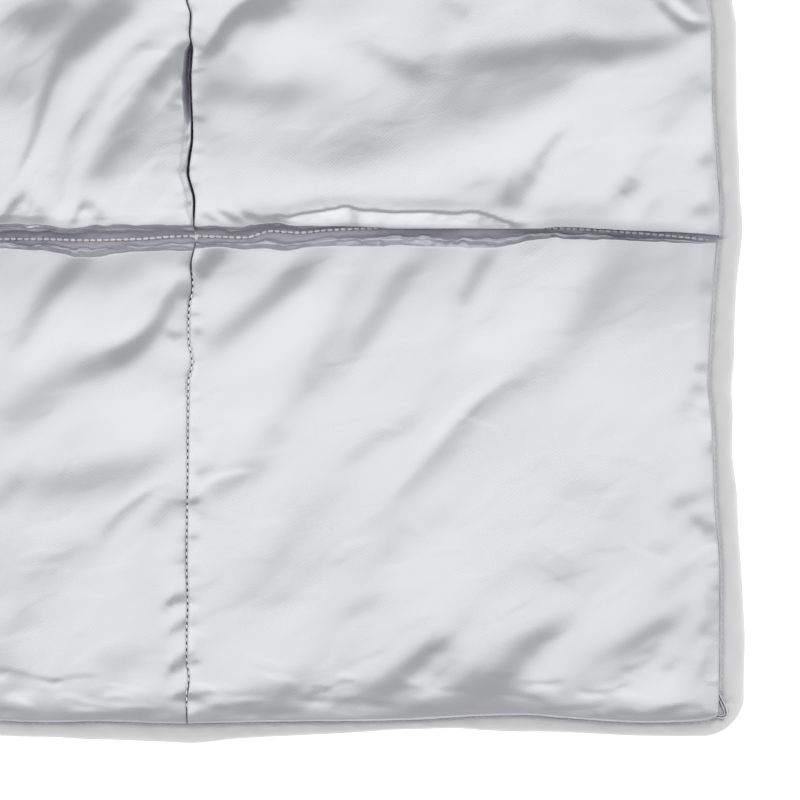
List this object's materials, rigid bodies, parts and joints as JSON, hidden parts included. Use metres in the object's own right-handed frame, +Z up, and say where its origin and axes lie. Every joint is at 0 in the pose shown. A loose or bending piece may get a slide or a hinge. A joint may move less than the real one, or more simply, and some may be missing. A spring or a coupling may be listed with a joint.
{
  "type": "quilted duvet",
  "caption": "Quilted satin duvet lying flat, sewn into rectangular filled chambers, with a matt cloth band round its rounded-corner edge.",
  "frame": {"origin": "on the surface that the duvet lies on, under the middle of its bounding box", "axes": "+Z up, +Y along the long sides towards the back edge, +X to the right; the finely modelled corner is at +X and -Y"},
  "size_m": [1.38, 1.9958, 0.0334],
  "materials": {
    "satin_cover": "silver-grey satin weave, smooth, with a soft metallic sheen",
    "matt_band": "pale grey plain weave, matt",
    "sewing_thread": "pale grey twisted polyester thread"
  },
  "bodies": {
    "root": {"quilted_body": "satin_cover", "edge_band": "matt_band"}
  },
  "joints": []
}
